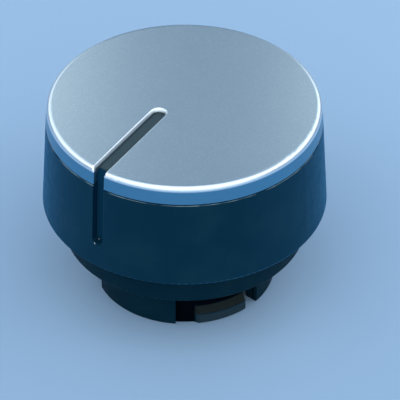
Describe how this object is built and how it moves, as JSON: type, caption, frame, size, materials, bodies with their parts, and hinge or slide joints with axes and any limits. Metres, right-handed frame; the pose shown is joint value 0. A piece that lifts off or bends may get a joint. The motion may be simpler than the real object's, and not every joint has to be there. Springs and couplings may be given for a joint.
{
  "type": "washing machine knob",
  "caption": "Round appliance control knob: silver cap with a pointer slot on a dark flared grip, over a notched snap-in base ring and a D-shaft socket with a clamp ring.",
  "frame": {"origin": "on the knob's axis, level with the foot of the base ring", "axes": "+Z along the axis from the foot to the cap; -Y points the way the pointer points"},
  "size_m": [0.05, 0.05, 0.0367],
  "materials": {
    "silver_cap": "satin metallic silver coating",
    "dark_grip": "fine satin moulding",
    "dark_carrier": "fine satin moulding",
    "spring_steel": "dark tempered"
  },
  "bodies": {
    "root": {"top_cap": "silver_cap", "grip_shell": "dark_grip", "hub_carrier": "dark_carrier", "clamp_ring": "spring_steel"}
  },
  "joints": []
}
